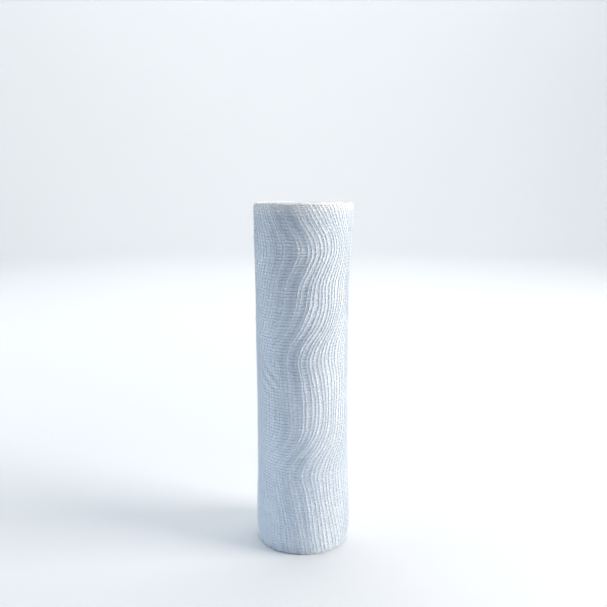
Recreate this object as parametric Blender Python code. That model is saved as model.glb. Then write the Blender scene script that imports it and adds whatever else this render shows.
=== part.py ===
"""A gauze bandage roll standing on one end: a single strip of open-weave cotton gauze wound on itself.

Run with: blender --background --python part.py
Metres, +Z up. The origin is the middle of the end that the roll stands on, and the side seen first faces -Y.

The strip is one piece of cloth, so the roll is one solid. It is laid out flat as grids, which are then
wound: the two end faces are long ribbons that run round and round from the eye to the rim, the side is the
face of the last turn, and a narrow face closes the step where the outer end of the strip stops.
"""

import math
from collections import namedtuple

import bmesh
import bpy
import numpy as np

MM = 0.001

# Driving dimensions.
STRIP_WIDTH = 101.6 * MM  # a 4 inch bandage: the height of the roll as it stands
ROLL_RADIUS = 13.7 * MM  # about its middle
STEP_HEIGHT = 0.3 * MM  # how far the outer end of the strip stands off the turn below it
TOP_GROOVE_DEPTH = 0.6 * MM  # between the main turns of the upper end, and down to its rim
FOOT_GROOVE_DEPTH = 0.4 * MM  # the same at the end that the roll stands on
TURN_DROP = 0.22 * MM  # how much lower than the highest the lowest turn of the upper end lies
EYE_DEPTH = 4.0 * MM
EYE_NARROWING = 0.55  # the eye's floor as a share of its mouth
RIDGE_COUNT = 26  # soft ridges where the weft bunches up, about 3.3 mm apart
RIDGE_HEIGHT = 0.12 * MM
FRONT = math.radians(-90)
STEP_AZIMUTH = FRONT + math.radians(158)  # the outer end lies at the back, to the right of the middle

# The outline of the wound strip from the foot up, and how far its axis bows sideways. It flares at the
# top, is a little narrower below that, and is fuller again just above the foot.
Section = namedtuple("Section", "height radius sideways")
SIDE_SECTIONS = (
    Section(0.0 * MM, 13.95 * MM, 0.0 * MM),
    Section(2.5 * MM, 14.25 * MM, 0.0 * MM),
    Section(9.0 * MM, 14.30 * MM, 0.0 * MM),
    Section(22.0 * MM, 13.92 * MM, -0.12 * MM),
    Section(40.0 * MM, 13.68 * MM, -0.28 * MM),
    Section(62.0 * MM, 13.72 * MM, -0.34 * MM),
    Section(82.0 * MM, 13.90 * MM, -0.26 * MM),
    Section(92.0 * MM, 14.16 * MM, -0.08 * MM),
    Section(98.0 * MM, 14.40 * MM, 0.0 * MM),
    Section(101.6 * MM, 14.46 * MM, 0.0 * MM),
)

# The path that the weft wanders along at the front, from the foot up. Positive is to the right.
Bend = namedtuple("Bend", "height offset")
WEFT_BENDS = (
    Bend(0.0 * MM, -4.7 * MM),
    Bend(11.0 * MM, -6.4 * MM),
    Bend(20.0 * MM, -8.0 * MM),
    Bend(24.5 * MM, -8.5 * MM),
    Bend(28.0 * MM, -7.2 * MM),
    Bend(33.0 * MM, -3.4 * MM),
    Bend(36.0 * MM, -1.9 * MM),
    Bend(44.0 * MM, -1.0 * MM),
    Bend(52.0 * MM, -1.4 * MM),
    Bend(59.0 * MM, -2.3 * MM),
    Bend(62.0 * MM, -1.5 * MM),
    Bend(68.0 * MM, 2.1 * MM),
    Bend(73.0 * MM, 4.0 * MM),
    Bend(80.0 * MM, 4.9 * MM),
    Bend(84.0 * MM, 6.4 * MM),
    Bend(88.0 * MM, 7.7 * MM),
    Bend(92.0 * MM, 7.1 * MM),
    Bend(96.0 * MM, 5.0 * MM),
    Bend(101.6 * MM, 2.5 * MM),
)
BACK_WANDER = 0.55  # the weft wanders less at the back, by this share of the front's
BACK_SWAY = 1.6 * MM  # and there it sways to each side in its own time too
BACK_SWAY_HEIGHT = 11.0 * MM

# Where the main turns lie between the eye and the rim, as shares of the radius. Each stands for a bundle
# of the strip's fine turns, and they are as uneven as hand-fed winding leaves them.
TURN_SHARES = (0.075, 0.16, 0.27, 0.385, 0.51, 0.625, 0.755, 0.87, 1.0)
TURNS = len(TURN_SHARES) - 1

# How the grids are divided.
COLUMNS_PER_TURN = RIDGE_COUNT * 3
SIDE_ROWS = 24
ROW_CROWDING = 0.4  # the rows of the side lie closer together towards both rims
ACROSS_TURN = (0.0, 0.2, 0.8, 1.0)  # across an end's turn: its groove, a flat land, the next groove
MERGE_DISTANCE = 0.002 * MM

COTTON_COLOUR = (0.84, 0.87, 0.90, 1.0)
COTTON_ROUGHNESS = 0.95


def smooth_curve(rows, column):
    """A function of height whose curve runs smoothly through this column of a table."""
    heights = np.array([row.height for row in rows])
    values = np.array([getattr(row, column) for row in rows])
    slopes = np.gradient(values, heights)

    def at(height):
        after = int(np.clip(np.searchsorted(heights, height), 1, len(rows) - 1))
        before = after - 1
        span = heights[after] - heights[before]
        share = (height - heights[before]) / span
        from_before = values[before] * (1 + 2 * share) + slopes[before] * span * share
        from_after = values[after] * (3 - 2 * share) - slopes[after] * span * (1 - share)
        return float(from_before * (1 - share) ** 2 + from_after * share**2)

    return at


radius_at = smooth_curve(SIDE_SECTIONS, "radius")
bow_at = smooth_curve(SIDE_SECTIONS, "sideways")
wander_at = smooth_curve(WEFT_BENDS, "offset")


def clear_scene():
    """Removes what the scene holds before the roll is modelled."""
    for obj in list(bpy.data.objects):
        bpy.data.objects.remove(obj)


def weft_azimuth(turn, height):
    """The azimuth, at this height, of the weft thread that lies this many turns along the strip."""
    angle = 2 * math.pi * turn
    at_back = 0.5 - 0.5 * math.cos(angle + STEP_AZIMUTH - FRONT)
    sway = BACK_SWAY * math.sin(height / BACK_SWAY_HEIGHT + 2 * angle)
    offset = wander_at(height) * (1 - BACK_WANDER * at_back) + sway * at_back
    return STEP_AZIMUTH + angle + offset / ROLL_RADIUS


def ridge_relief(turn, height):
    """How far the bunched weft stands proud of the side here. It lies flatter towards the two rims."""
    angle = 2 * math.pi * turn
    crest = (0.5 + 0.5 * math.cos(RIDGE_COUNT * angle)) ** 1.5
    strength = 0.75 + 0.25 * math.sin(3 * angle + height / (9 * MM))
    from_rim = min(height, STRIP_WIDTH - height)
    return RIDGE_HEIGHT * crest * strength * min(0.35 + from_rim / (12 * MM), 1.0)


def wound_radius(turn, height):
    """The radius of the winding after this many turns. The side is the turn that starts at TURNS."""
    share = float(np.interp(turn, range(TURNS + 1), TURN_SHARES))
    below_step = STEP_HEIGHT * (1 - max(turn - TURNS, 0.0))
    relief = ridge_relief(turn, height) * share**6
    return share * (radius_at(height) - below_step) + relief


def wound_point(turn, radius, weft_height, height):
    """A point of the roll on the weft thread of this turn, as that thread lies at weft_height."""
    azimuth = weft_azimuth(turn, weft_height)
    return (
        radius * math.cos(azimuth) + bow_at(weft_height),
        radius * math.sin(azimuth),
        height,
    )


def laid_grid(mesh, columns, rows, place):
    """A flat grid whose vertices then go where place(column, row) puts them."""
    made = bmesh.ops.create_grid(mesh, x_segments=columns, y_segments=rows, size=1.0)
    for vertex in made["verts"]:
        column = round((vertex.co.x + 1) / 2 * columns)
        row = round((vertex.co.y + 1) / 2 * rows)
        vertex.co = place(column, row)


def foot_land(turn):
    """The lands of the end that the roll stands on all lie on the ground."""
    return 0.0


def top_land(turn):
    """The lands of the upper end, where some turns lie a little lower than their neighbours."""
    return STRIP_WIDTH - TURN_DROP * (0.5 - 0.5 * math.sin(2.3 * turn + 0.6))


def height_across(step, groove, land):
    """The height of an end face at one step across a turn: a groove at each side and a land between."""
    return groove if step in (0, len(ACROSS_TURN) - 1) else land


def add_end(mesh, groove, land_of):
    """One end face: a ribbon as wide as a turn, wound from the eye out to the rim."""

    def place(column, row):
        turn = column / COLUMNS_PER_TURN
        inner, outer = (wound_radius(turn + past, groove) for past in (0, 1))
        radius = inner + (outer - inner) * ACROSS_TURN[row]
        return wound_point(turn, radius, groove, height_across(row, groove, land_of(turn)))

    laid_grid(mesh, TURNS * COLUMNS_PER_TURN, len(ACROSS_TURN) - 1, place)


def side_height(row):
    """The height of a row of the side, from the rim of the foot to the rim of the upper end."""
    share = row / SIDE_ROWS
    share -= ROW_CROWDING * math.sin(2 * math.pi * share) / (2 * math.pi)
    return FOOT_GROOVE_DEPTH + (STRIP_WIDTH - TOP_GROOVE_DEPTH - FOOT_GROOVE_DEPTH) * share


def add_side(mesh):
    """The face of the outermost turn, whose columns follow the weft."""

    def place(column, row):
        turn = TURNS + column / COLUMNS_PER_TURN
        height = side_height(row)
        return wound_point(turn, wound_radius(turn, height), height, height)

    laid_grid(mesh, COLUMNS_PER_TURN, SIDE_ROWS, place)


def add_step(mesh):
    """The narrow face of the outer end of the strip, from the turn below it out to the side."""

    def place(column, row):
        weft_height = height = side_height(row)
        inner, outer = (wound_radius(TURNS + past, weft_height) for past in (0, 1))
        radius = inner + (outer - inner) * ACROSS_TURN[column]
        if row == 0:
            height = height_across(column, height, foot_land(TURNS))
        elif row == SIDE_ROWS:
            height = height_across(column, height, top_land(TURNS))
        return wound_point(TURNS, radius, weft_height, height)

    laid_grid(mesh, len(ACROSS_TURN) - 1, SIDE_ROWS, place)


def sink_eye(mesh, loop, floor_height):
    """Extrudes the open loop at the middle of one end into a tapering eye, and closes its floor."""
    made = bmesh.ops.extrude_edge_only(mesh, edges=loop)["geom"]
    for item in made:
        if isinstance(item, bmesh.types.BMVert):
            item.co.x *= EYE_NARROWING
            item.co.y *= EYE_NARROWING
            item.co.z = floor_height
    floor = [item for item in made if isinstance(item, bmesh.types.BMEdge) and item.is_boundary]
    bmesh.ops.edgeloop_fill(mesh, edges=floor)


def add_eyes(mesh):
    """The small hollow that the first turn of the winding leaves in each end."""
    open_edges = [edge for edge in mesh.edges if edge.is_boundary]
    middle = STRIP_WIDTH / 2
    sink_eye(mesh, [edge for edge in open_edges if edge.verts[0].co.z < middle], EYE_DEPTH)
    sink_eye(
        mesh, [edge for edge in open_edges if edge.verts[0].co.z > middle], STRIP_WIDTH - EYE_DEPTH
    )


def centre_on_origin(mesh):
    """Moves the roll so that its outermost points lie evenly round the Z axis. A spiral's don't at first."""
    places = np.array([vertex.co[:2] for vertex in mesh.verts])
    middle = (places.min(axis=0) + places.max(axis=0)) / 2
    bmesh.ops.translate(mesh, verts=mesh.verts, vec=(-middle[0], -middle[1], 0.0))


def bleached_cotton():
    """The roll's material: matt white cotton with a cool cast."""
    material = bpy.data.materials.new("bleached_cotton")
    material.use_nodes = True
    shader = material.node_tree.nodes["Principled BSDF"]
    shader.inputs["Base Color"].default_value = COTTON_COLOUR
    shader.inputs["Roughness"].default_value = COTTON_ROUGHNESS
    shader.inputs["Metallic"].default_value = 0.0
    return material


def build_gauze_roll():
    """The wound strip as one closed solid."""
    mesh = bmesh.new()
    add_side(mesh)
    add_step(mesh)
    add_end(mesh, FOOT_GROOVE_DEPTH, foot_land)
    add_end(mesh, STRIP_WIDTH - TOP_GROOVE_DEPTH, top_land)
    bmesh.ops.remove_doubles(mesh, verts=mesh.verts, dist=MERGE_DISTANCE)
    add_eyes(mesh)
    centre_on_origin(mesh)
    bmesh.ops.recalc_face_normals(mesh, faces=mesh.faces)

    data = bpy.data.meshes.new("gauze_roll")
    mesh.to_mesh(data)
    mesh.free()
    data.shade_smooth()
    data.set_sharp_from_angle(angle=math.radians(40))
    data.materials.append(bleached_cotton())

    collection = bpy.data.collections.new("gauze_bandage_roll")
    bpy.context.scene.collection.children.link(collection)
    collection.objects.link(bpy.data.objects.new("gauze_roll", data))


def main():
    clear_scene()
    build_gauze_roll()


if __name__ == "__main__":
    main()
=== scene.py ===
"""The looks of a gauze bandage roll, laid out as a Blender add-on and run as a script.

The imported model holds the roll's plain wound form. Here that form is replaced by one with many fine turns on
its ends, covered with two turns of real open weave, thread by thread, with the edge yarn wound over both
ends, the cut outer end's fringe and some lint. Metres, +Z up, and the side seen first faces -Y.

Places on the strip are given by a turn and a height. The last turn of the winding runs from 0 to 1, where
the strip's cut outer end lies, the turn below it from -1 to 0, and so on inwards. The warp runs round the
roll and the weft runs up it.
"""

import math
from collections import namedtuple

import bmesh
import bpy
import numpy as np
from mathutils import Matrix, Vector


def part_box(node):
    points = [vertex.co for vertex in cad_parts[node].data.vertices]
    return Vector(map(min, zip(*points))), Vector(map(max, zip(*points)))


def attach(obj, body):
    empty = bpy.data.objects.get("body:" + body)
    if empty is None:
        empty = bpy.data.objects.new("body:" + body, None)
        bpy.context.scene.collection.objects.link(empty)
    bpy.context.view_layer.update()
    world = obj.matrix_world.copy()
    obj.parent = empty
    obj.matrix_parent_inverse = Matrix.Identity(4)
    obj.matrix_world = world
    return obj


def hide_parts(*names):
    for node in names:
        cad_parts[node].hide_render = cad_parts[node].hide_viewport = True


bl_info = {
    "name": "Gauze bandage roll",
    "version": (1, 0, 0),
    "blender": (4, 5, 0),
    "location": "3D View > Sidebar > Gauze",
    "description": "Builds a wound roll of open-weave gauze thread by thread, and a stage for it",
    "category": "Add Mesh",
}

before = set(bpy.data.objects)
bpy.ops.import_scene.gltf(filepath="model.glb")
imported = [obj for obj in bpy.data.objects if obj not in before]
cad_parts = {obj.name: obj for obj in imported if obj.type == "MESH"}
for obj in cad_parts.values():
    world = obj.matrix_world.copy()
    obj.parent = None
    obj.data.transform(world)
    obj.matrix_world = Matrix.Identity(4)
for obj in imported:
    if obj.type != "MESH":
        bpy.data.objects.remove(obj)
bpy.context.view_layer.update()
ROLL_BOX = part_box("gauze_roll")

MM = 0.001
PER_MM = 1000.0
CIRCLE = 2 * math.pi
FRONT = math.radians(-90)
STEP_AZIMUTH = FRONT + math.radians(158)  # where the cut outer end lies
AXIS_SHIFT = (-0.08 * MM, 0.044 * MM)  # puts the winding's outermost points evenly round the Z axis
ROLL_RADIUS = 13.7 * MM
ROUND_THE_ROLL = CIRCLE * ROLL_RADIUS

# The outline of the wound strip from the foot up, and how far its axis bows sideways, as in the model.
Section = namedtuple("Section", "height radius sideways")
SIDE_SECTIONS = (
    Section(0.0, 13.95 * MM, 0.0),
    Section(2.5 * MM, 14.25 * MM, 0.0),
    Section(9.0 * MM, 14.30 * MM, 0.0),
    Section(22.0 * MM, 13.92 * MM, -0.12 * MM),
    Section(40.0 * MM, 13.68 * MM, -0.28 * MM),
    Section(62.0 * MM, 13.72 * MM, -0.34 * MM),
    Section(82.0 * MM, 13.90 * MM, -0.26 * MM),
    Section(92.0 * MM, 14.16 * MM, -0.08 * MM),
    Section(98.0 * MM, 14.40 * MM, 0.0),
    Section(101.6 * MM, 14.46 * MM, 0.0),
)

# The path that the weft wanders along at the front, from the foot up. Positive is to the right.
Bend = namedtuple("Bend", "height offset")
WEFT_BENDS = (
    Bend(0.0, -4.7 * MM),
    Bend(11.0 * MM, -6.4 * MM),
    Bend(20.0 * MM, -8.0 * MM),
    Bend(24.5 * MM, -8.5 * MM),
    Bend(28.0 * MM, -7.2 * MM),
    Bend(33.0 * MM, -3.4 * MM),
    Bend(36.0 * MM, -1.9 * MM),
    Bend(44.0 * MM, -1.0 * MM),
    Bend(52.0 * MM, -1.4 * MM),
    Bend(59.0 * MM, -2.3 * MM),
    Bend(62.0 * MM, -1.5 * MM),
    Bend(68.0 * MM, 2.1 * MM),
    Bend(73.0 * MM, 4.0 * MM),
    Bend(80.0 * MM, 4.9 * MM),
    Bend(84.0 * MM, 6.4 * MM),
    Bend(88.0 * MM, 7.7 * MM),
    Bend(92.0 * MM, 7.1 * MM),
    Bend(96.0 * MM, 5.0 * MM),
    Bend(101.6 * MM, 2.5 * MM),
)
BACK_STRAIGHTNESS = 0.55  # how much less the weft wanders at the back, as a share
BACK_SWAY = 1.6 * MM  # and how far it sways there instead
BACK_SWAY_HEIGHT = 11.0 * MM  # the height that one radian of that sway takes
BACK_SWAY_WAVES = 2  # waves of that sway round the roll

# Smooth unevenness: the seed of its lumps, how far they reach, and about how large each one is.
Lumps = namedtuple("Lumps", "seed reach size")
WEFT_STRAY = Lumps(17, 0.45 * MM, 8 * MM)  # of the weft, from its path
RIDGE_UNEVENNESS = Lumps(1220, 0.4, 9 * MM)  # of the ridges' strength
SLOW_DENTS = Lumps(23, 0.07 * MM, 14 * MM)  # of the side, out and in
PICK_STRAY = Lumps(41, 0.07 * MM, 1.6 * MM)  # of each weft thread from its own place
WARP_WAVES = Lumps(51, 0.13 * MM, 3.5 * MM)  # of a warp thread, up and down
WARP_STRAY = Lumps(61, 0.05 * MM, 1.2 * MM)  # the same, from one weft thread to the next
LUMP_WAVES = 6  # waves in different directions that add up to the lumps
LUMP_PACES = (0.6, 1.5)  # of the slowest and the fastest wave, where 1 fits the lumps' size

RIM_HEIGHT = 2.6 * MM  # how far below the upper edge the side starts to curl in
RIM_SHARPNESS = 3.5

RIDGES = 26  # round the roll: the soft lines where the weft bunches up
PICKS_PER_RIDGE = 3
PICKS = RIDGES * PICKS_PER_RIDGE  # weft threads in one turn of the strip
CREST_SHARPNESS = 2
RIM_RIDGE_SHARE = 0.35  # how much of a ridge's height is left at the two rims
RIM_RIDGE_FADE = 12 * MM  # how long a fade from no height to the whole of it would be

# A ridge's own strength is uneven. It counts for little all round, and for more in a band up the front.
RIDGE_MEAN = 0.8
RIDGE_MOST = 1.2
RIDGE_ALL_ROUND = 0.35
RIDGE_CREASED = 1.35  # on top of that, in the band
CREASED_HALF_WIDTH = math.radians(21)
CREASED_SHARPNESS = 4
# At two heights each: the azimuth of the band's middle, from the front, and how much the band counts.
CREASED_LEAN = ((15.0 * MM, 90.0 * MM), (math.radians(-8), math.radians(-18)))
CREASED_GROWTH = ((5 * MM, 90 * MM), (0.6, 1.3))

# A patch of short slanting puckers in the outer turns.
PUCKER_AZIMUTH = math.radians(-44)  # from the front
PUCKER_HEIGHT = 52.3 * MM
PUCKER_SPACING = 2.7 * MM
PUCKER_SLANT = (0.64, 0.77)  # across and up: the way from one pucker to the next
PUCKER_REACH = (3.2 * MM, 4.5 * MM)  # how far the patch reaches across and up
PUCKER_RELIEF = 0.08 * MM
PUCKER_SHADING = 1.6  # painted highlight on a crest, where the threads crowd, and painted shade between, as ridge gap shading

SIDE_SHARPNESS = 20  # how suddenly the side's ridge gap shading ends at the two ends
TURN_SEARCH_STEPS = 5  # in the search for the weft thread that lies at a place

# The fine turns of both ends, in bundles as the model's main turns, as shares of the radius.
BUNDLE_SHARES = (0.075, 0.16, 0.27, 0.385, 0.51, 0.625, 0.755, 0.87, 1.0)
TURNS_PER_BUNDLE = 7
FINE_TURNS = (len(BUNDLE_SHARES) - 1) * TURNS_PER_BUNDLE

# Across one fine turn of an end: how far across it, and how high on the turn's rounded edge.
RIB_ACROSS = np.array([0.0, 0.25, 0.5, 0.75, 1.0])
RIB_RISE = np.array([0.0, 0.8, 1.0, 0.8, 0.0])


def linear(hex_colour):
    """A colour written as sRGB hex, turned to the linear values that Blender's sockets take."""
    channels = [int(hex_colour[start : start + 2], 16) / 255 for start in (1, 3, 5)]
    return tuple(c / 12.92 if c <= 0.04045 else ((c + 0.055) / 1.055) ** 2.4 for c in channels)


def length(name, description, default):
    """A length that a user may change."""
    return bpy.props.FloatProperty(
        name=name, description=description, default=default, precision=5, unit="LENGTH", subtype="DISTANCE"
    )


def colour(name, description, hex_colour):
    """A colour that a user may change."""
    return bpy.props.FloatVectorProperty(
        name=name, description=description, default=linear(hex_colour), min=0.0, max=1.0, subtype="COLOR"
    )


def power(name, lamp, default):
    """The strength of a lamp that a user may change."""
    return bpy.props.FloatProperty(
        name=name, description=f"Strength of {lamp}", default=default, unit="POWER"
    )


class GauzeSizes(bpy.types.PropertyGroup):
    """The sizes of the gauze and of how it is wound."""

    strip_width: length("Strip width", "Woven width of the strip: the roll's height", ROLL_BOX[1].z)
    yarn: length("Yarn", "Thickness of one cotton thread", 0.21 * MM)
    crimp: length("Crimp", "How far a thread bends out and in where it crosses another", 0.05 * MM)
    warp_spacing: length("Warp spacing", "From one warp thread to the next", 0.91 * MM)
    selvedge_spacing: length("Selvedge spacing", "From one warp thread to the next at the edges", 0.5 * MM)
    layer_pitch: length("Layer pitch", "From one turn of the strip out to the next", 0.14 * MM)
    ridge_height: length("Ridge height", "How proud the bunched weft stands", 0.07 * MM)
    rim_rounding: length("Rim rounding", "How far the upper rim of the side curls in", 0.6 * MM)
    rib_depth: length("Rib depth", "From the edge of a fine turn down to the gap beside it", 0.16 * MM)
    bundle_gap: length("Bundle gap", "How much lower the ends lie between two bundles of turns", 0.3 * MM)
    rim_drop: length("Rim drop", "How much lower than the strip's edge the body's rim lies", 0.4 * MM)
    eye_depth: length("Eye depth", "Depth of the hollow where the winding starts", 6.0 * MM)
    fringe: length("Fringe", "Longest warp end past the last weft thread of the cut end", 2.2 * MM)
    lint_length: length("Lint length", "Length of the longest loose fibres", 2.4 * MM)
    lint_fibres: bpy.props.IntProperty(
        name="Lint fibres", description="Number of loose fibres on the roll", default=900, min=0
    )


class GauzeLooks(bpy.types.PropertyGroup):
    """The colours of the gauze and of the stage, and the strength of the light."""

    yarn_light: colour("Yarn, light", "Where a cotton thread is clean and fluffy", "#E5EBF1")
    yarn_dark: colour("Yarn, dark", "Where a cotton thread is twisted tighter", "#D5DEE7")
    # Painted shade: the holes of the weave are painted this darker colour, where the turns below lie in shade.
    between: colour("Between threads", "The turns below, seen through the holes of the weave", "#D5DEE7")
    # Painted shade: the cloth between two ridges is painted this bluish grey, where its gaps lie in shade.
    ridge_gap_shade: colour("Thin places", "Where the weft has left the cloth between two ridges thin", "#8C9FB6")
    # Painted light: this white is painted where light shows through the upper edge, and as a highlight on the
    # puckers' crests.
    edge: colour("Upper edge", "Where light from above shows through the strip's upper edge", "#FFFFFF")
    sweep: colour("Sweep", "The floor and the backdrop, one pale surface", "#F4F6F8")
    key_colour: colour("Key light", "The soft light from the right", "#FFF9F3")
    fill_colour: colour("Fill light", "The weak light from the left", "#E9F6FF")
    card_colour: colour("Card light", "The small low light at the front left", "#C6DAF8")
    overhead_colour: colour("Overhead light", "The large light above the roll", "#F1F8FF")
    backdrop_colour: colour("Backdrop light", "The light on the backdrop", "#FFFFFF")
    sky_colour: colour("Sky", "The dim light all round", "#C5DDFF")
    key_power: power("Key power", "the soft light from the right", 4.3)
    fill_power: power("Fill power", "the weak light from the left", 0.9)
    card_power: power("Card power", "the small low light at the front left", 0.049)
    overhead_power: power("Overhead power", "the large light above the roll", 4.4)
    backdrop_power: power("Backdrop power", "the light on the backdrop", 6.5)
    sky_glow: bpy.props.FloatProperty(
        name="Sky glow", description="Brightness of the dim light all round", default=0.045, min=0.0
    )


def smooth_curve(rows, column):
    """A function of heights whose curve runs smoothly through this column of a table."""
    heights = np.array([row.height for row in rows])
    values = np.array([getattr(row, column) for row in rows])
    slopes = np.gradient(values, heights)

    def at(height):
        after = np.clip(np.searchsorted(heights, height), 1, len(rows) - 1)
        before = after - 1
        span = heights[after] - heights[before]
        share = (height - heights[before]) / span
        from_before = values[before] * (1 + 2 * share) + slopes[before] * span * share
        from_after = values[after] * (3 - 2 * share) - slopes[after] * span * (1 - share)
        return from_before * (1 - share) ** 2 + from_after * share**2

    return at


radius_at = smooth_curve(SIDE_SECTIONS, "radius")
bow_at = smooth_curve(SIDE_SECTIONS, "sideways")
wander_at = smooth_curve(WEFT_BENDS, "offset")


def soft_noise(seed, turn, up, size):
    """A smooth uneven value between about -1 and 1 for each place, whose lumps are about this size.

    It is the same one whole turn further on, so turns that lie on each other share it.
    """
    draw = np.random.default_rng(seed)
    total = 0.0
    for _ in range(LUMP_WAVES):
        heading = draw.uniform(0, CIRCLE)
        pace = draw.uniform(*LUMP_PACES) * CIRCLE / (2 * size)
        phase = draw.uniform(0, CIRCLE)
        waves_round = round(pace * math.cos(heading) * ROLL_RADIUS)
        total = total + np.sin(CIRCLE * waves_round * turn + pace * math.sin(heading) * up + phase)
    return total / math.sqrt(2 * LUMP_WAVES)


def uneven(lumps, turn, up, layer=0):
    """What these lumps add at each place. Each layer of the weave has its own."""
    return lumps.reach * soft_noise(lumps.seed + layer, turn, up, lumps.size)


def weft_azimuth(turn, height):
    """The azimuth, at this height, of the weft thread that lies this many turns along the strip."""
    angle = CIRCLE * turn
    at_back = 0.5 - 0.5 * np.cos(angle + STEP_AZIMUTH - FRONT)
    sway = BACK_SWAY * np.sin(height / BACK_SWAY_HEIGHT + BACK_SWAY_WAVES * angle)
    offset = wander_at(height) * (1 - BACK_STRAIGHTNESS * at_back) + sway * at_back
    offset = offset + uneven(WEFT_STRAY, turn, height)
    return STEP_AZIMUTH + angle + offset / ROLL_RADIUS


def from_front(turn, height):
    """The azimuth of this place, from the front: positive to the right, up to half a circle each way."""
    azimuth = weft_azimuth(turn, height) - FRONT
    return np.mod(azimuth + math.pi, CIRCLE) - math.pi


def ridge_strength(turn, height):
    """How strongly the weft bunches here, from 0 to about 2.5: most at the front, and more higher up."""
    own = np.clip(RIDGE_MEAN + uneven(RIDGE_UNEVENNESS, turn, height), 0.0, RIDGE_MOST)
    across = from_front(turn, height) - np.interp(height, *CREASED_LEAN)
    creased = np.exp(-((across / CREASED_HALF_WIDTH) ** CREASED_SHARPNESS))
    return own * (RIDGE_ALL_ROUND + RIDGE_CREASED * creased * np.interp(height, *CREASED_GROWTH))


def ridge_crest(turn):
    """1 on the crest of each ridge, falling to 0 between two of them."""
    return 0.5 + 0.5 * np.cos(RIDGES * CIRCLE * turn)


def ridge_relief(turn, height, sizes):
    """How far the bunched weft stands proud of the side here. It lies flatter towards the two rims."""
    crest = ridge_crest(turn) ** CREST_SHARPNESS
    from_rim = np.minimum(height, sizes.strip_width - height)
    fade = np.minimum(RIM_RIDGE_SHARE + from_rim / RIM_RIDGE_FADE, 1.0)
    return sizes.ridge_height * crest * ridge_strength(turn, height) * fade


def puckers(turn, height):
    """The patch of puckers at the front left: 1 on their crests, -1 between them and 0 away from it."""
    across = ROLL_RADIUS * (from_front(turn, height) - PUCKER_AZIMUTH)
    up = height - PUCKER_HEIGHT
    wave = np.cos(CIRCLE * (PUCKER_SLANT[0] * across + PUCKER_SLANT[1] * up) / PUCKER_SPACING)
    return wave * np.exp(-((across / PUCKER_REACH[0]) ** 2) - (up / PUCKER_REACH[1]) ** 2)


def dents(turn, height):
    """How far the side lies out of its even form: the slow dents of the winding, and the puckers."""
    return uneven(SLOW_DENTS, turn, height) + PUCKER_RELIEF * puckers(turn, height)


def rim_curl(height, sizes):
    """How far the side lies in from its straight course, close to the upper edge."""
    near_rim = np.clip(1 - (sizes.strip_width - height) / RIM_HEIGHT, 0.0, 1.0)
    return sizes.rim_rounding * near_rim**RIM_SHARPNESS


def side_radius(turn, height, sizes):
    """The radius of the outside of the strip at this place on one of its last turns."""
    inside = sizes.layer_pitch * (1 - turn) + rim_curl(height, sizes)
    return radius_at(height) - inside + ridge_relief(turn, height, sizes) + dents(turn, height)


def together(*coordinates):
    """Coordinates of matching shapes as one array of points."""
    return np.stack(np.broadcast_arrays(*coordinates), axis=-1)


def place(turn, radius, weft_height, height):
    """Points at this radius on the weft thread of this turn, as that thread lies at weft_height."""
    azimuth = weft_azimuth(turn, weft_height)
    x = radius * np.cos(azimuth) + bow_at(weft_height) + AXIS_SHIFT[0]
    y = radius * np.sin(azimuth) + AXIS_SHIFT[1]
    return together(x, y, height)


def thinness(points):
    """How thin the weave lies at these points: 0 on a crest, and up to about 2.5 between strong ridges.

    The materials paint shade by it between the ridges. On the crests of the puckers, where the threads crowd
    together, it is below 0, and the materials paint a highlight there.
    """
    x, y, height = points.T
    from_axis = x - AXIS_SHIFT[0] - bow_at(height), y - AXIS_SHIFT[1]
    azimuth = np.arctan2(from_axis[1], from_axis[0])
    turn = (azimuth - STEP_AZIMUTH) / CIRCLE
    for _ in range(TURN_SEARCH_STEPS):
        turn = turn + (azimuth - weft_azimuth(turn, height)) / CIRCLE
    on_side = np.clip(np.hypot(*from_axis) / radius_at(height), 0.0, 1.0) ** SIDE_SHARPNESS
    pucker_shading = PUCKER_SHADING * puckers(turn, height)
    return ((1 - ridge_crest(turn)) * ridge_strength(turn, height) - pucker_shading) * on_side


# Meshes.

THREAD_MERGE_DISTANCE = 0.0001 * MM


def add_object(name, data):
    """Puts a new object into the scene."""
    obj = bpy.data.objects.new(name, data)
    bpy.context.scene.collection.objects.link(obj)
    return obj


def show(name, mesh, material):
    """Makes a mesh a piece of the roll: it rides on the one body and takes this material."""
    mesh.name = name
    points = np.empty(3 * len(mesh.vertices), dtype=np.float32)
    mesh.vertices.foreach_get("co", points)
    # The painted shade between the ridges and the painted highlight on the puckers, for the materials to read.
    layer = mesh.attributes.new("thinness", "FLOAT", "POINT")
    layer.data.foreach_set("value", thinness(points.reshape(-1, 3).astype(float)).astype(np.float32))
    mesh.shade_smooth()
    mesh.materials.append(material)
    piece = add_object(name, mesh)
    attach(piece, "root")
    return piece


def add_grid(mesh, places, flat):
    """Adds a grid and moves each vertex to its place, with its place on the flat strip as its UV.

    Both arrays are indexed by column and row. The UV is in millimetres.
    """
    columns, rows = places.shape[0] - 1, places.shape[1] - 1
    made = bmesh.ops.create_grid(mesh, x_segments=columns, y_segments=rows, size=1.0)
    layer = mesh.loops.layers.uv.verify()
    for vertex in made["verts"]:
        column = round((vertex.co.x + 1) / 2 * columns)
        row = round((vertex.co.y + 1) / 2 * rows)
        vertex.co = places[column, row]
        for loop in vertex.link_loops:
            loop[layer].uv = flat[column, row]


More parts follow.
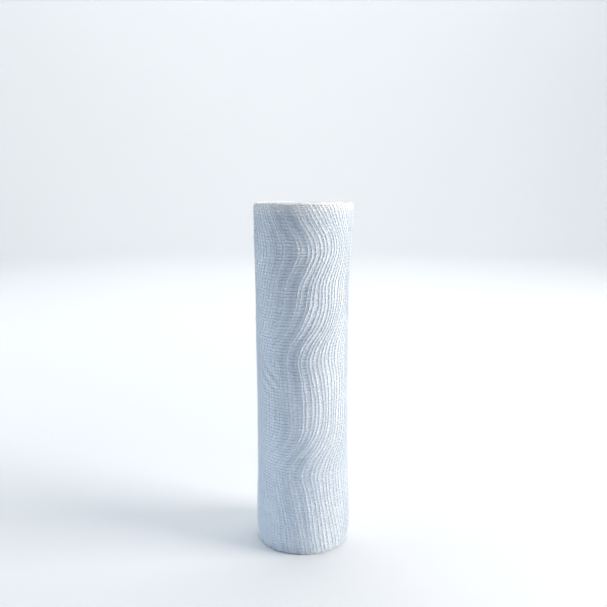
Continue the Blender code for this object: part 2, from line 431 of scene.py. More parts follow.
def threads(strands, thickness):
    """One mesh of threads. Each strand is its points and how thick it is at each of them, as a share."""
    curve = bpy.data.curves.new("threads", "CURVE")
    curve.dimensions = "3D"
    curve.bevel_depth = thickness / 2
    curve.bevel_resolution = 0  # four sides, enough for a thread with smooth shading
    curve.use_fill_caps = True
    for points, shares in strands:
        spline = curve.splines.new("POLY")
        spline.points.add(len(points) - 1)
        spline.points.foreach_set("co", np.column_stack([points, np.ones(len(points))]).ravel())
        spline.points.foreach_set("radius", np.broadcast_to(shares, len(points)).astype(np.float32))
    guide = add_object("threads", curve)
    bpy.context.view_layer.update()
    mesh = bpy.data.meshes.new_from_object(guide.evaluated_get(bpy.context.evaluated_depsgraph_get()))
    bpy.data.objects.remove(guide)
    bpy.data.curves.remove(curve)
    closed = bmesh.new()
    closed.from_mesh(mesh)
    bmesh.ops.remove_doubles(closed, verts=closed.verts, dist=THREAD_MERGE_DISTANCE)
    closed.to_mesh(mesh)
    closed.free()
    return mesh


def with_middles(values):
    """The values along a thread, with one halfway between each two."""
    longer = np.empty((2 * len(values) - 1, *values.shape[1:]))
    longer[0::2] = values
    longer[1::2] = (values[:-1] + values[1:]) / 2
    return longer


# The wound body below the open weave.

End = namedtuple("End", "edge outwards seed")  # its edge's height, and -1 at the foot or 1 at the top

SIDE_COLUMNS = RIDGES * 4
BODY_ROWS = 120
MERGE_DISTANCE = 0.002 * MM
EYE_NARROWING = 0.55
BODY_TURN = -2  # the body's side is the third turn from the outside, which starts here
INWARD_SHARPNESS = 6  # how fast the side's ridges and dents die away towards the middle
BUNDLE_DROP = 0.11 * MM  # the bundles of an end lie in a wave, from 0 to twice this below its highest
BUNDLE_WAVE = 2.3  # radians of that wave from one bundle to the next
BUNDLE_WAVE_START = 0.6
GAP_HALF_WIDTH = 0.8  # of the gap between two bundles, in fine turns
TURN_DROP = 0.05 * MM  # and each fine turn from 0 to about twice this lower
TURN_LUMP_SIZE = 2 * MM
TURN_LUMP_STEP = 3 * MM  # through its lumps from one fine turn to the next
PACKED_WARP_MM = 0.91
BETWEEN_WARP_MM = PACKED_WARP_MM / 2  # a place on the flat strip that no warp thread crosses
SMOOTH_ANGLE = math.radians(60)


def both_ends(sizes):
    """The foot and the top."""
    return End(0.0, -1, 31), End(sizes.strip_width, 1, 32)


def radius_share(fine_turn):
    """How far out this fine turn lies, as a share of the radius."""
    return np.interp(fine_turn / TURNS_PER_BUNDLE, range(len(BUNDLE_SHARES)), BUNDLE_SHARES)


def body_radius(fine_turn, height, sizes):
    """The radius of the body's winding after this many fine turns."""
    share = radius_share(fine_turn)
    turn = BODY_TURN + np.maximum(fine_turn - FINE_TURNS, 0.0)
    relief = ridge_relief(fine_turn, height, sizes) + dents(turn, height) - rim_curl(height, sizes)
    return share * (radius_at(height) - sizes.layer_pitch * (1 - turn)) + relief * share**INWARD_SHARPNESS


def edge_drop(fine_turn, seed, sizes):
    """How much lower than the highest each place of an end's fine turns lies."""
    bundle = fine_turn / TURNS_PER_BUNDLE
    slow = BUNDLE_DROP * (1 - np.sin(BUNDLE_WAVE * bundle + BUNDLE_WAVE_START))
    from_gap = np.abs(bundle - np.round(bundle)) * TURNS_PER_BUNDLE
    gap = sizes.bundle_gap * np.exp(-((from_gap / GAP_HALF_WIDTH) ** 2))
    own = TURN_DROP * (1 + soft_noise(seed, 0.0, fine_turn * TURN_LUMP_STEP, TURN_LUMP_SIZE))
    return slow + gap + own


def gap_height(fine_turn, end, sizes):
    """The height of the gap between two fine turns of an end."""
    return end.edge - end.outwards * (edge_drop(fine_turn, end.seed, sizes) + sizes.rib_depth)


def rim_height(end, sizes):
    """The height of the body's rim at an end, before its fine turns' own unevenness."""
    return end.edge - end.outwards * sizes.rim_drop


def strip_length(fine_turn):
    """How much of the strip is wound up after this many fine turns, for the weave's UV."""
    return np.cumsum(radius_share(fine_turn), axis=0) * ROUND_THE_ROLL / SIDE_COLUMNS


def body_end(mesh, sizes, end):
    """One end of the body: a ribbon as wide as a fine turn, wound from the eye out to the rim."""
    turn = (np.arange(FINE_TURNS * SIDE_COLUMNS + 1) / SIDE_COLUMNS)[:, None]
    rim = rim_height(end, sizes)
    inner, outer = body_radius(turn, rim, sizes), body_radius(turn + 1, rim, sizes)
    gap, next_gap = gap_height(turn, end, sizes), gap_height(turn + 1, end, sizes)
    height = gap * (1 - RIB_ACROSS) + next_gap * RIB_ACROSS + end.outwards * sizes.rib_depth * RIB_RISE
    places = place(turn, inner + (outer - inner) * RIB_ACROSS, rim, height)
    add_grid(mesh, places, together(strip_length(turn) * PER_MM, 0 * RIB_ACROSS + BETWEEN_WARP_MM))


def body_side(mesh, sizes, foot, top):
    """The side of the body, whose columns follow the weft, and the step where the strip's end stops."""
    share = np.linspace(0, 1, BODY_ROWS + 1)[None, :]
    low, high = rim_height(foot, sizes), rim_height(top, sizes)
    weft_height = low + (high - low) * share

    def height_at(turn):
        from_foot, to_top = gap_height(turn, foot, sizes), gap_height(turn, top, sizes)
        return from_foot + (to_top - from_foot) * share

    turn = (FINE_TURNS + np.arange(SIDE_COLUMNS + 1) / SIDE_COLUMNS)[:, None]
    places = place(turn, body_radius(turn, weft_height, sizes), weft_height, height_at(turn))
    add_grid(mesh, places, together(turn * ROUND_THE_ROLL, weft_height) * PER_MM)

    across, rise = RIB_ACROSS[:, None], RIB_RISE[:, None] * sizes.rib_depth
    inner = body_radius(FINE_TURNS, weft_height, sizes)
    outer = body_radius(FINE_TURNS + 1, weft_height, sizes)
    height = height_at(FINE_TURNS) * (1 - across) + height_at(FINE_TURNS + 1) * across
    height = height + rise * ((share == 1.0) * top.outwards + (share == 0.0) * foot.outwards)
    places = place(FINE_TURNS, inner + (outer - inner) * across, weft_height, height)
    add_grid(mesh, places, together(0 * across, weft_height * PER_MM))


def sink_eye(mesh, loop, floor_height):
    """Extrudes the open loop at the middle of one end into a tapering eye, and closes its floor."""
    made = bmesh.ops.extrude_edge_only(mesh, edges=loop)["geom"]
    for item in made:
        if isinstance(item, bmesh.types.BMVert):
            item.co.x *= EYE_NARROWING
            item.co.y *= EYE_NARROWING
            item.co.z = floor_height
    floor = [item for item in made if isinstance(item, bmesh.types.BMEdge) and item.is_boundary]
    bmesh.ops.edgeloop_fill(mesh, edges=floor)


def add_wound_body(sizes, looks):
    """The body of the roll: its side, and the fine turns of both ends."""
    mesh = bmesh.new()
    foot, top = both_ends(sizes)
    body_side(mesh, sizes, foot, top)
    body_end(mesh, sizes, foot)
    body_end(mesh, sizes, top)
    bmesh.ops.remove_doubles(mesh, verts=mesh.verts, dist=MERGE_DISTANCE)
    open_edges = [edge for edge in mesh.edges if edge.is_boundary]
    for end in (foot, top):
        near = [edge for edge in open_edges if abs(edge.verts[0].co.z - end.edge) < sizes.strip_width / 2]
        sink_eye(mesh, near, end.edge - end.outwards * sizes.eye_depth)
    if not all(edge.is_manifold for edge in mesh.edges):
        raise RuntimeError("the wound body isn't closed")
    bmesh.ops.recalc_face_normals(mesh, faces=mesh.faces)
    data = bpy.data.meshes.new("wound_body")
    mesh.to_mesh(data)
    mesh.free()
    piece = show("wound_body", data, packed_gauze(looks))
    data.set_sharp_from_angle(angle=SMOOTH_ANGLE)
    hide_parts("gauze_roll")


# The open weave of the two outermost turns.

LOWEST_SHARE = 0.65  # of the yarn's thickness: how low above the ground a thread's middle may lie
EDGE_WARP = 0.45 * MM  # from the strip's edge to its outermost warp thread
SELVEDGE_GAPS = 3  # the close gaps between warp threads at each edge
EVEN_BUNCHING = 0.05  # how much closer the weft threads of a ridge lie, as a share
RIDGE_BUNCHING = 0.15  # and how much more for each 1 of the ridge's strength

SLUB_THICKNESS = (0.78, 1.22)
SLUB_POINTS = 5  # of a thread, from one slub to the next
WEFT_SEED = 1000  # of the first weft thread's slubs; the warp's seeds start from 0
LAYER_SEEDS = 200
LOOP_ROUNDNESS = 0.4  # how far a weft loop reaches past the outermost warp, beside its radius
HALF_LOOP = np.radians([45.0, 90.0])  # where on a loop its points lie
WHOLE_LOOP = np.radians([35.0, 90.0, 145.0])

# Each warp end of the fringe has three points past the last weft thread.
FRINGE_SEED = 70
FRINGE_SHORTEST = 0.15  # beside the longest
FRINGE_ALONG = np.array([0.25, 0.55, 1.0])
FRINGE_SINK = np.array([0.5, 1.0, 1.0])  # down onto the turn below
FRINGE_RISE = np.array([0.0, 0.0, 0.8])  # how much of that its tip may rise again
FRINGE_STRAY = 0.35 * MM
FRINGE_BEND = np.array([0.1, 0.4, 1.0])  # the share of it that each point has


def warp_heights(sizes):
    """The height of each warp thread: evenly spaced, and closer together in the selvedge at each edge."""
    close = np.arange(SELVEDGE_GAPS + 1) * sizes.selvedge_spacing
    low, high = EDGE_WARP + close[-1], sizes.strip_width - EDGE_WARP - close[-1]
    gaps = round((high - low) / sizes.warp_spacing)
    middle = np.linspace(low, high, gaps + 1)
    upper = sizes.strip_width - EDGE_WARP - close[:-1][::-1]
    return np.concatenate([EDGE_WARP + close[:-1], middle, upper])


def crossings(layer, sizes):
    """Where each pick of one turn crosses each warp thread: its turn, its height, and which lies outside.

    The three arrays are indexed by pick and by warp thread.
    """
    pick = np.arange(PICKS + 1)[:, None]
    ridge = np.round(pick / PICKS_PER_RIDGE)
    member = pick - PICKS_PER_RIDGE * ridge
    base = warp_heights(sizes)[None, :]
    even_turn = layer + pick / PICKS
    bunching = EVEN_BUNCHING + RIDGE_BUNCHING * ridge_strength(layer + ridge / RIDGES, base)
    turn = layer + (ridge + member / PICKS_PER_RIDGE * (1 - bunching)) / RIDGES
    turn = turn + uneven(PICK_STRAY, even_turn, base, layer) / ROUND_THE_ROLL
    height = base + uneven(WARP_WAVES, even_turn, base, layer)
    height = height + uneven(WARP_STRAY, even_turn, base, layer)
    over = np.where((pick + np.arange(base.size)[None, :]) % 2 == 0, 1.0, -1.0)
    return turn, height, over


def thread_points(turn, height, lift, sizes):
    """Points of a thread that lies this far outside (or inside) the middle of its own turn."""
    middle = sizes.crimp + sizes.yarn / 2
    height = np.maximum(height, sizes.yarn * LOWEST_SHARE)
    radius = side_radius(turn, height, sizes) - middle + lift
    return place(turn, radius, height, height)


def slubs(seed, points):
    """How thick a thread is at each point: cotton yarn is never even."""
    draw = np.random.default_rng(seed)
    steps = draw.uniform(*SLUB_THICKNESS, size=len(points) // SLUB_POINTS + 2)
    return np.interp(np.arange(len(points)) / SLUB_POINTS, range(len(steps)), steps)


def fringe_end(turn, height, lift, sizes, draw):
    """Lengthens a warp thread past the last pick of the cut end, down onto the turn below."""
    reach = sizes.fringe * draw.uniform(FRINGE_SHORTEST, 1.0) * FRINGE_ALONG
    stray = FRINGE_STRAY * draw.normal() * FRINGE_BEND
    past = 1.0 + reach / ROUND_THE_ROLL
    sink = -sizes.layer_pitch * (FRINGE_SINK - FRINGE_RISE * draw.uniform())
    return (
        np.concatenate([turn, past]),
        np.concatenate([height, height[-1] + stray]),
        np.concatenate([lift, sink]),
    )


def warp_strands(layer, sizes):
    """The warp threads of one turn of the strip. Those of the last turn end in a short fringe."""
    turn, height, over = crossings(layer, sizes)
    draw = np.random.default_rng(FRINGE_SEED + layer)
    strands = []
    for warp in range(turn.shape[1]):
        path = [with_middles(values[:, warp]) for values in (turn, height, over * sizes.crimp)]
        if layer == 0:
            path = fringe_end(*path, sizes, draw)
        points = thread_points(*path, sizes)
        strands.append((points, slubs(warp - LAYER_SEEDS * layer, points)))
    return strands


def loop_points(turn, other, edge_height, outwards, angles):
    """Part of the loop that a weft thread makes round the outermost warp on its way to its neighbour."""
    centre, half = (turn + other) / 2, (turn - other) / 2
    reach = LOOP_ROUNDNESS * abs(half) * ROUND_THE_ROLL
    turns = centre + half * np.cos(angles)
    heights = edge_height + outwards * reach * np.sin(angles)
    return turns, heights, np.zeros(len(angles))


def weft_strands(layer, sizes):
    """The weft of one turn: each thread runs up one pick, loops over at the top and comes down the next."""
    turn, height, over = crossings(layer, sizes)
    weft = turn, height, -over * sizes.crimp
    lowest, highest = height[:, 0], height[:, -1]
    strands = []
    for pick in range(0, PICKS - 1, 2):
        up = [with_middles(values[pick]) for values in weft]
        down = [with_middles(values[pick + 1]) for values in weft]
        before = turn[pick - 1, 0] if pick else turn[0, 0] - 1 / PICKS
        first = loop_points(turn[pick, 0], before, lowest[pick], -1, HALF_LOOP)
        top = loop_points(turn[pick, -1], turn[pick + 1, -1], highest[pick], 1, WHOLE_LOOP)
        last = loop_points(turn[pick + 1, 0], turn[pick + 2, 0], lowest[pick + 1], -1, HALF_LOOP)
        path = [
            np.concatenate([first[k][::-1], up[k], top[k], down[k][::-1], last[k]]) for k in range(3)
        ]
        points = thread_points(*path, sizes)
        strands.append((points, slubs(pick + WEFT_SEED - LAYER_SEEDS * layer, points)))
    return strands


def add_open_weave(sizes, looks):
    """The two outermost turns of the strip as real threads."""
    yarn = cotton_yarn(looks)
    for layer, word in ((0, "outer"), (-1, "under")):
        show(f"{word}_warp", threads(warp_strands(layer, sizes), sizes.yarn), yarn)
        show(f"{word}_weft", threads(weft_strands(layer, sizes), sizes.yarn), yarn)


# The strip's edge, wound over both ends.

EDGE_SEEDS = 50
EDGE_DROP = 0.03 * MM  # the yarn lies from 0 to about twice this below the turns' highest
EDGE_LUMP_SIZE = 0.9 * MM
EDGE_LUMP_STEP = 40 * MM  # through its lumps from one fine turn to the next


def add_edge_yarn(sizes, looks):
    """The outermost warp thread of each edge of the strip, as it lies wound over the ends."""
    yarn = cotton_yarn(looks)
    turn = np.arange(FINE_TURNS * SIDE_COLUMNS + 1) / SIDE_COLUMNS
    for word, end in zip(("foot", "top"), both_ends(sizes)):
        drop = (edge_drop(turn, end.seed, sizes) + edge_drop(turn + 1, end.seed, sizes)) / 2
        lumps = soft_noise(end.seed + EDGE_SEEDS, 0.0, turn * EDGE_LUMP_STEP, EDGE_LUMP_SIZE)
        height = end.edge - end.outwards * (drop + EDGE_DROP * (1 + lumps) + sizes.yarn / 2)
        rim = rim_height(end, sizes)
        radius = (body_radius(turn, rim, sizes) + body_radius(turn + 1, rim, sizes)) / 2
        points = place(turn, radius, rim, height)
        strand = (points, slubs(end.seed, points))
        show(f"{word}_edge_yarn", threads([strand], sizes.yarn), yarn)


# Lint.

LINT_SEED = 90
LINT_THICKNESS = 0.03 * MM
LINT_POINTS = 6
LINT_REACH = (0.25, 1.0)  # beside the longest
LINT_RISE = (0.1, 0.7)  # off the side, beside the fibre's own reach
LINT_ARCH = (1.5, 3.1)  # radians: the tip stands out, or comes back down to the side
LINT_CURL = 1.2
LINT_TAPER = 0.6
LINT_ROOT_DEPTH = 0.1 * MM
LINT_ROOT_MARGINS = (0.5 * MM, 0.3 * MM)  # without roots, at the foot and at the top
LINT_LOWEST = 0.1 * MM
LINT_OVERHANG = 0.8 * MM  # past the upper edge


def add_lint(sizes, looks):
    """Loose cotton fibres that stand off the side and the rims."""
    draw = np.random.default_rng(LINT_SEED)
    share = np.linspace(0, 1, LINT_POINTS)
    strands = []
    for _ in range(sizes.lint_fibres):
        turn = draw.uniform(0, 1)
        height = draw.uniform(LINT_ROOT_MARGINS[0], sizes.strip_width - LINT_ROOT_MARGINS[1])
        reach = sizes.lint_length * draw.uniform(*LINT_REACH)
        heading = draw.uniform(0, CIRCLE)
        rise = draw.uniform(*LINT_RISE)
        bend = heading + draw.normal(0, LINT_CURL) * share
        along = reach * np.cumsum(np.cos(bend)) / LINT_POINTS
        up = reach * np.cumsum(np.sin(bend)) / LINT_POINTS
        out = reach * rise * np.sin(share * draw.uniform(*LINT_ARCH))
        turns = turn + along / ROUND_THE_ROLL
        heights = np.clip(height + up, LINT_LOWEST, sizes.strip_width + LINT_OVERHANG)
        radius = side_radius(turn, height, sizes) - LINT_ROOT_DEPTH + out
        strands.append((place(turns, radius, height, heights), 1.0 - LINT_TAPER * share))
    show("lint", threads(strands, LINT_THICKNESS), cotton_yarn(looks))


# Materials.

GAP_SHADE_SHARE = 0.32  # of the painted shade's colour between the ridges, for each 1 of ridge gap shading
PUCKER_HIGHLIGHT_SHARE = 0.5  # of the upper edge's white, painted on the puckers' crests as a highlight, for each 1 of ridge gap shading below 0
LIT_EDGE = 4.0 * MM  # how far below the upper edge that colour starts
LIT_EDGE_POWER = 1.4
TWIST_LENGTH = 0.7 * MM
FIBRE_SIZE = 0.12 * MM
FIBRE_RELIEF = 0.03 * MM
PACKED_STRAY_MM = 0.7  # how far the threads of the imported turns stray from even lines
PACKED_STRAY_SIZE = 3 * MM
PACKED_LINE_EDGE = 0.2  # where on a line's wave, from -1 to 1, the thread starts
PACKED_RELIEF = 0.1 * MM
BOARD_GRAIN = 4 * MM
BOARD_RELIEF = 0.05 * MM


def add_node(tree, kind, inputs=None, **settings):
    """Adds a node with its settings. Each input takes a value, or the output that feeds it."""
    node = tree.nodes.new(kind)
    for name, value in settings.items():
        setattr(node, name, value)
    for name, value in (inputs or {}).items():
        if isinstance(value, bpy.types.NodeSocket):
            tree.links.new(value, node.inputs[name])
        else:
            node.inputs[name].default_value = value
    return node


def new_material(name, surface):
    """A material whose Principled shader has these values, its node tree and that shader."""
    material = bpy.data.materials.new(name)
    material.use_nodes = True
    shader = material.node_tree.nodes["Principled BSDF"]
    for socket, value in surface.items():
        shader.inputs[socket].default_value = value
    return material, material.node_tree, shader


def opaque(rgb):
    """The colour with the alpha that a socket takes as well."""
    return (*rgb, 1.0)


def object_place(tree):
    """The output with a point's place on its object."""
    return add_node(tree, "ShaderNodeTexCoord").outputs["Object"]


def worked_out(tree, operation, *values):
    """The output of a calculation with these values, each a number or the output that feeds it."""
    node = add_node(tree, "ShaderNodeMath", dict(enumerate(values)), operation=operation)
    return node.outputs["Value"]


def mixed(tree, share, first, second):
    """The output of two mixed colours: the first where the share is 0, the second where it is 1."""
    inputs = {"Factor": share, "A": first, "B": second}
    return add_node(tree, "ShaderNodeMix", inputs, data_type="RGBA").outputs["Result"]


def add_noise(tree, place_on, size, detail, **settings):
    """Adds a noise texture whose coarsest lumps are about this size."""
    inputs = {"Vector": place_on, "Scale": 1 / size, "Detail": detail}
    return add_node(tree, "ShaderNodeTexNoise", inputs, **settings)


def add_bump(tree, shader, height, strength, distance):
    """Makes the shader's surface uneven."""
    inputs = {"Height": height, "Strength": strength, "Distance": distance}
    bump = add_node(tree, "ShaderNodeBump", inputs)
    tree.links.new(bump.outputs["Normal"], shader.inputs["Normal"])


def over_the_roll(tree, cotton, looks):
    """The cotton's colour as it changes over the side of the roll, with painted shade and painted light."""
    # The weft that has moved off into the ridges leaves the cloth between them thin: painted shade greys it
    # there.
    ridge_gap_shade = add_node(tree, "ShaderNodeAttribute", attribute_name="thinness").outputs["Fac"]
    greyed = mixed(tree, worked_out(tree, "MULTIPLY", ridge_gap_shade, GAP_SHADE_SHARE), cotton, opaque(looks.ridge_gap_shade))
    # Light from above shows through the uppermost millimetres of the real threads, so they are whiter here.
    height = add_node(tree, "ShaderNodeSeparateXYZ", {"Vector": object_place(tree)}).outputs["Z"]
    strip_width = ROLL_BOX[1].z
    span = {"Value": height, "From Min": strip_width - LIT_EDGE, "From Max": strip_width}
    near_edge = add_node(tree, "ShaderNodeMapRange", span).outputs["Result"]
    lit = worked_out(tree, "POWER", near_edge, LIT_EDGE_POWER)
    # Where threads crowd together on a pucker, more of them catch the light: its crest is painted whiter, a
    # painted highlight.
    pucker_highlight = worked_out(tree, "MULTIPLY", ridge_gap_shade, -PUCKER_HIGHLIGHT_SHARE)
    return mixed(tree, worked_out(tree, "MAXIMUM", lit, pucker_highlight), greyed, opaque(looks.edge))


def cotton_yarn(looks):
    """Bleached cotton yarn, spun and not glazed: matt, with fibres that catch light at a grazing angle."""
    name = "bleached cotton yarn"
    if name in bpy.data.materials:
        return bpy.data.materials[name]
    surface = {"Sheen Weight": 0.25, "Sheen Roughness": 0.5, "Specular IOR Level": 0.3}
    material, tree, shader = new_material(name, surface)
    place_on = object_place(tree)
    # Thread to thread and along each thread the cotton is a little more or less tightly twisted.
    twist = add_noise(tree, place_on, TWIST_LENGTH, 3.0).outputs["Fac"]
    shade = mixed(tree, twist, opaque(looks.yarn_dark), opaque(looks.yarn_light))
    tree.links.new(over_the_roll(tree, shade, looks), shader.inputs["Base Color"])
    # The fibres make the yarn's surface uneven. Real ones are a fifth as thick, too fine to show here.
    fibres = add_noise(tree, place_on, FIBRE_SIZE, 2.0).outputs["Fac"]
    add_bump(tree, shader, fibres, 0.6, FIBRE_RELIEF)
    rough = add_node(tree, "ShaderNodeMapRange", {"Value": fibres, "To Min": 0.82, "To Max": 0.98})
    tree.links.new(rough.outputs["Result"], shader.inputs["Roughness"])
    return material


def packed_gauze(looks):
    """The turns of gauze below the outer ones: threads that cross one spacing apart, with shade between."""
    surface = {"Roughness": 0.95, "Sheen Weight": 0.2, "Specular IOR Level": 0.25}
    material, tree, shader = new_material("packed gauze turns", surface)
    flat = add_node(tree, "ShaderNodeUVMap").outputs["UV"]
    # Woven threads are never quite straight, so the even lines of the flat strip are moved a little.
    stray = add_noise(tree, object_place(tree), PACKED_STRAY_SIZE, 2.0, normalize=False)
    moved = add_node(
        tree,
        "ShaderNodeVectorMath",
        {0: stray.outputs["Color"], 1: (PACKED_STRAY_MM, PACKED_STRAY_MM, 0.0), 2: flat},
        operation="MULTIPLY_ADD",
    )
    parts = add_node(tree, "ShaderNodeSeparateXYZ", {"Vector": moved.outputs["Vector"]})
    lines = []
    for axis, spacing_mm in (("X", ROUND_THE_ROLL * PER_MM / PICKS), ("Y", PACKED_WARP_MM)):
        phase = worked_out(tree, "MULTIPLY", parts.outputs[axis], CIRCLE / spacing_mm)
        wave = worked_out(tree, "COSINE", phase)
        span = {"Value": wave, "From Min": PACKED_LINE_EDGE, "From Max": 1.0}
        line = add_node(tree, "ShaderNodeMapRange", span, interpolation_type="SMOOTHSTEP")
        lines.append(line.outputs["Result"])
    weave = worked_out(tree, "MAXIMUM", *lines)
    # Painted shade in the holes between the threads.
    shade = mixed(tree, weave, opaque(looks.between), opaque(looks.yarn_light))
    tree.links.new(over_the_roll(tree, shade, looks), shader.inputs["Base Color"])
    add_bump(tree, shader, weave, 0.8, PACKED_RELIEF)
    return material


def white_sweep(looks):
    """Matt painted board, so pale that the floor and the backdrop read as one."""
    surface = {"Base Color": opaque(looks.sweep), "Roughness": 0.9}
    material, tree, shader = new_material("matt white board", surface)
    grain = add_noise(tree, object_place(tree), BOARD_GRAIN, 2.0).outputs["Fac"]
    add_bump(tree, shader, grain, 0.1, BOARD_RELIEF)
    return material


# The stage.

SWEEP_FLOOR = 0.9
SWEEP_CURVE = 0.5
SWEEP_HEIGHT = 0.95
SWEEP_DROP = 0.02 * MM
SWEEP_CURVE_STEPS = 12
SWEEP_COLUMNS = 72
SWEEP_MERGE_DISTANCE = 0.001 * MM

# The lights round the roll. Azimuth 0 is the camera's side, and 90 degrees is the right.
Softbox = namedtuple("Softbox", "azimuth elevation distance size")
KEY = Softbox(math.radians(80), math.radians(15), 0.6, 0.3)
FILL = Softbox(math.radians(-95), math.radians(17), 0.6, 0.3)
CARD = Softbox(math.radians(-42), 0.0, 0.11, 0.06)
CARD_HEIGHT = 10 * MM
CARD_AIM = (0, 0, 14 * MM)

# The two large lights high up.
HIGH_SIZE = 0.8
OVERHEAD_PLACE = (0, 0.1, 1.3)
OVERHEAD_AIM = (0, 0.1, 0)
BACKDROP_PLACE = (0, 0.4, 0.9)
BACKDROP_AIM = (0, 1.2, 0.2)

CAMERA_BACK = 190 * MM  # from the roll's axis
CAMERA_ABOVE_TOP = 4 * MM
CAMERA_TILT = math.radians(10)
CAMERA_LENS = 39.0
CAMERA_NEAREST = 5 * MM


def add_softbox(name, at, towards, size, looks):
    """A square area light that faces a point, with the power and the colour that the looks give it."""
    light = bpy.data.lights.new(name, "AREA")
    light.shape = "SQUARE"
    light.size = size
    light.energy = getattr(looks, f"{name}_power")
    light.color = getattr(looks, f"{name}_colour")
    softbox = add_object(name, light)
    softbox.visible_camera = False
    softbox.location = at
    softbox.rotation_euler = (Vector(towards) - softbox.location).to_track_quat("-Z", "Y").to_euler()
    return softbox


def place_of(softbox, middle):
    """Where a softbox hangs, seen from a point at this height on the roll's axis."""
    level = softbox.distance * math.cos(softbox.elevation)
    x, y = level * math.sin(softbox.azimuth), -level * math.cos(softbox.azimuth)
    return x, y, middle + softbox.distance * math.sin(softbox.elevation)


def add_sweep(looks):
    """The floor, which curves up into a backdrop all round."""
    mesh = bmesh.new()
    profile = [(0.0, -SWEEP_DROP), (SWEEP_FLOOR / 3, -SWEEP_DROP), (SWEEP_FLOOR, -SWEEP_DROP)]
    for step in range(1, SWEEP_CURVE_STEPS + 1):
        angle = math.radians(90 * step / SWEEP_CURVE_STEPS)
        profile.append(
            (SWEEP_FLOOR + SWEEP_CURVE * math.sin(angle), SWEEP_CURVE * (1 - math.cos(angle)))
        )
    profile.append((SWEEP_FLOOR + SWEEP_CURVE, SWEEP_HEIGHT))
    verts = [mesh.verts.new((x, 0, z)) for x, z in profile]
    edges = [mesh.edges.new(pair) for pair in zip(verts, verts[1:])]
    bmesh.ops.spin(
        mesh,
        geom=verts + edges,
        axis=(0, 0, 1),
        cent=(0, 0, 0),
        angle=CIRCLE,
        steps=SWEEP_COLUMNS,
        use_merge=True,
    )
    bmesh.ops.remove_doubles(mesh, verts=mesh.verts, dist=SWEEP_MERGE_DISTANCE)
    bmesh.ops.recalc_face_normals(mesh, faces=mesh.faces)
    if sum(face.normal.z for face in mesh.faces) < 0:
        bmesh.ops.reverse_faces(mesh, faces=mesh.faces)
    data = bpy.data.meshes.new("sweep")
    mesh.to_mesh(data)
    mesh.free()
    data.shade_smooth()
    data.materials.append(white_sweep(looks))
    sweep = add_object("sweep", data)
    return sweep


def add_camera(sizes):
    """The camera of the photograph: close, level with the upper end, and tilted a little down."""
    data = bpy.data.cameras.new("camera")
    data.lens = CAMERA_LENS
    data.clip_start = CAMERA_NEAREST
    camera = add_object("camera", data)
    camera.location = (0, -CAMERA_BACK, sizes.strip_width + CAMERA_ABOVE_TOP)
    camera.rotation_euler = (math.radians(90) - CAMERA_TILT, 0, 0)
    bpy.context.scene.camera = camera


def add_stage(sizes, looks):
    """The sweep, the lights, the sky's dim glow and the camera."""
    middle = sizes.strip_width / 2
    roll = (0, 0, middle)
    sweep = add_sweep(looks)
    add_softbox("key", place_of(KEY, middle), roll, KEY.size, looks)
    add_softbox("fill", place_of(FILL, middle), roll, FILL.size, looks)
    card = add_softbox("card", place_of(CARD, CARD_HEIGHT), CARD_AIM, CARD.size, looks)
    # The card's lower part hangs below the floor, so the floor takes no light from it.
    unlit = bpy.data.collections.new("not lit by the card")
    unlit.objects.link(sweep)
    unlit.collection_objects[0].light_linking.link_state = "EXCLUDE"
    card.light_linking.receiver_collection = unlit
    add_softbox("overhead", OVERHEAD_PLACE, OVERHEAD_AIM, HIGH_SIZE, looks)
    add_softbox("backdrop", BACKDROP_PLACE, BACKDROP_AIM, HIGH_SIZE, looks)
    world = bpy.data.worlds.new("studio")
    world.use_nodes = True
    background = world.node_tree.nodes["Background"]
    background.inputs["Color"].default_value = opaque(looks.sky_colour)
    background.inputs["Strength"].default_value = looks.sky_glow
    bpy.context.scene.world = world
    bpy.context.scene.view_settings.view_transform = "Standard"
    add_camera(sizes)


# The add-on's operators and panel.


def sizes_and_looks(context):
    """The scene's own sizes and looks."""
    return context.scene.gauze_sizes, context.scene.gauze_looks


class GAUZE_OT_wound_body(bpy.types.Operator):
    """Build the roll's body with the fine turns of both ends"""

    bl_idname = "gauze.wound_body"
    bl_label = "Wound body"
    bl_options = {"REGISTER", "UNDO"}

    def execute(self, context):
        add_wound_body(*sizes_and_looks(context))
        return {"FINISHED"}


class GAUZE_OT_open_weave(bpy.types.Operator):
    """Weave the two outermost turns of the strip, thread by thread"""

    bl_idname = "gauze.open_weave"
    bl_label = "Open weave"
    bl_options = {"REGISTER", "UNDO"}

    def execute(self, context):
        add_open_weave(*sizes_and_looks(context))
        return {"FINISHED"}


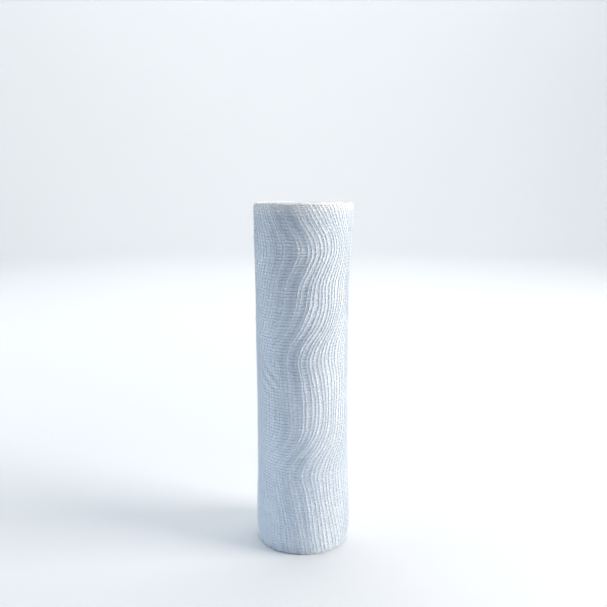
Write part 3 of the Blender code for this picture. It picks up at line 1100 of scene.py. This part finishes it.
class GAUZE_OT_edge_yarn(bpy.types.Operator):
    """Wind the strip's edge yarn over both ends"""

    bl_idname = "gauze.edge_yarn"
    bl_label = "Edge yarn"
    bl_options = {"REGISTER", "UNDO"}

    def execute(self, context):
        add_edge_yarn(*sizes_and_looks(context))
        return {"FINISHED"}


class GAUZE_OT_lint(bpy.types.Operator):
    """Scatter loose cotton fibres over the roll"""

    bl_idname = "gauze.lint"
    bl_label = "Lint"
    bl_options = {"REGISTER", "UNDO"}

    def execute(self, context):
        add_lint(*sizes_and_looks(context))
        return {"FINISHED"}


class GAUZE_OT_stage(bpy.types.Operator):
    """Set up the floor, the lights and the camera"""

    bl_idname = "gauze.stage"
    bl_label = "Stage"
    bl_options = {"REGISTER", "UNDO"}

    def execute(self, context):
        add_stage(*sizes_and_looks(context))
        return {"FINISHED"}


OPERATORS = (
    GAUZE_OT_stage,
    GAUZE_OT_wound_body,
    GAUZE_OT_open_weave,
    GAUZE_OT_edge_yarn,
    GAUZE_OT_lint,
)


class GAUZE_PT_panel(bpy.types.Panel):
    """The sizes, the looks and the operators, in the sidebar of the 3D view"""

    bl_idname = "GAUZE_PT_panel"
    bl_label = "Gauze bandage roll"
    bl_space_type = "VIEW_3D"
    bl_region_type = "UI"
    bl_category = "Gauze"

    def draw(self, context):
        layout = self.layout
        for group in sizes_and_looks(context):
            box = layout.box()
            for name in type(group).__annotations__:
                box.prop(group, name)
        for operator in OPERATORS:
            layout.operator(operator.bl_idname)


CLASSES = (GauzeSizes, GauzeLooks, *OPERATORS, GAUZE_PT_panel)


def register():
    for cls in CLASSES:
        bpy.utils.register_class(cls)
    bpy.types.Scene.gauze_sizes = bpy.props.PointerProperty(type=GauzeSizes)
    bpy.types.Scene.gauze_looks = bpy.props.PointerProperty(type=GauzeLooks)


def unregister():
    del bpy.types.Scene.gauze_looks
    del bpy.types.Scene.gauze_sizes
    for cls in reversed(CLASSES):
        bpy.utils.unregister_class(cls)


def main():
    """Builds the stage and the roll."""
    register()
    bpy.ops.gauze.stage()
    bpy.ops.gauze.wound_body()
    bpy.ops.gauze.open_weave()
    bpy.ops.gauze.edge_yarn()
    bpy.ops.gauze.lint()


if __name__ == "__main__":
    main()
